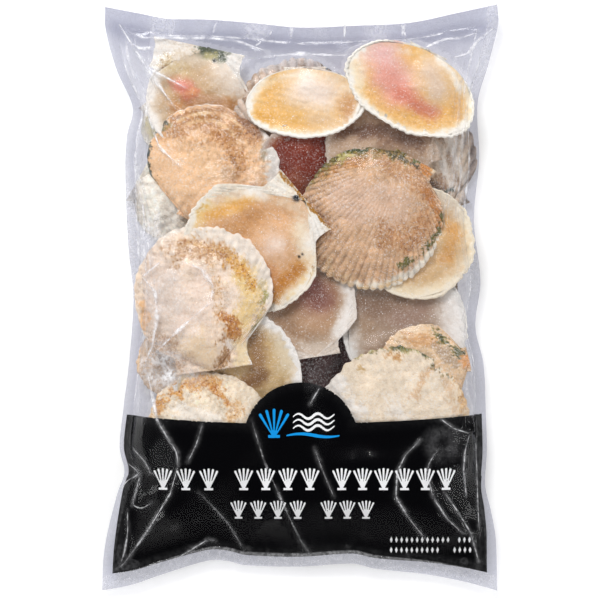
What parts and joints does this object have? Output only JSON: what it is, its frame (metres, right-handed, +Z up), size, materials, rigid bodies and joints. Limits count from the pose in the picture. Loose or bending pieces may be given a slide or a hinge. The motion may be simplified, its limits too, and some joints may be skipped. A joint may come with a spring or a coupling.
{
  "type": "pouch of frozen scallops in the half shell",
  "caption": "Sealed clear vacuum pouch of frozen scallops in the half shell with roe, film drawn tight over the shells, plain black printed band across the lower end.",
  "frame": {"origin": "centre of the bounding box, on the floor under the pouch", "axes": "+X across the pouch, +Y along it towards the top seal, +Z up out of the printed front"},
  "size_m": [0.2461, 0.364, 0.0359],
  "materials": {
    "pouch": "glossy film over frosted shells, as one solid",
    "clear_film": "clear, glossy, slightly hazy polyamide and polyethylene film",
    "black_print": "opaque black ink under glossy film",
    "scallop_shell": "ribbed shell, beige to brown with a white lip, frosted",
    "scallop_meat": "frozen meat, mantle and roe under a thin ice glaze"
  },
  "bodies": {
    "root": {"pouch": "pouch"}
  },
  "joints": []
}
